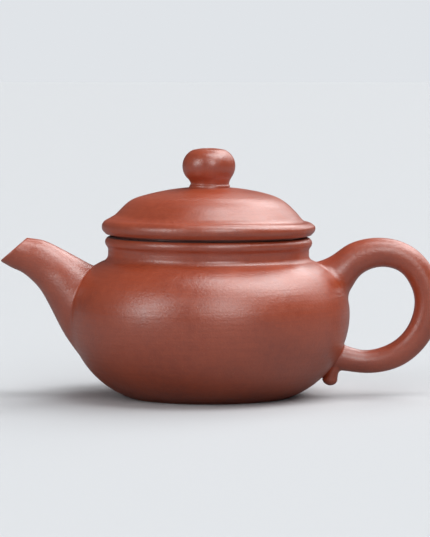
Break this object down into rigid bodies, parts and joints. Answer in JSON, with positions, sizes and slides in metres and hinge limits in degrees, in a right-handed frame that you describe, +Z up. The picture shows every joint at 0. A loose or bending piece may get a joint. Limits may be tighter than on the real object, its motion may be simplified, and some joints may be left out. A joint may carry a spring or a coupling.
{
  "type": "clay teapot",
  "caption": "Small round unglazed clay teapot with a short spout, a ring handle and a domed lid that lifts off the mouth.",
  "frame": {"origin": "on the pot's axis, in the plane that the pot stands on", "axes": "+Z up along the pot's axis, +X towards the handle, -X towards the spout"},
  "size_m": [0.1413, 0.09, 0.0795],
  "materials": {
    "burnished_clay": "unglazed red-brown stoneware, burnished to a soft satin, with fine sand grain and turning marks",
    "plain_clay": "the same clay left unburnished and matt, inside and underneath"
  },
  "bodies": {
    "pot": {"base_disc": "plain_clay", "body_wall": "burnished_clay", "shoulder_ring": "burnished_clay", "neck_ring": "burnished_clay", "mouth_rim": "burnished_clay", "strainer": "plain_clay", "spout": "burnished_clay", "handle": "burnished_clay", "handle_tail": "burnished_clay"},
    "lid": {"lid_dome": "burnished_clay", "lid_lip": "burnished_clay", "lid_flange": "plain_clay", "knob": "burnished_clay"}
  },
  "joints": [
    {"name": "lid_lift", "type": "slide", "parent": "pot", "child": "lid", "axis": [0, 0, 1], "range_m": [0, 0.04]}
  ]
}
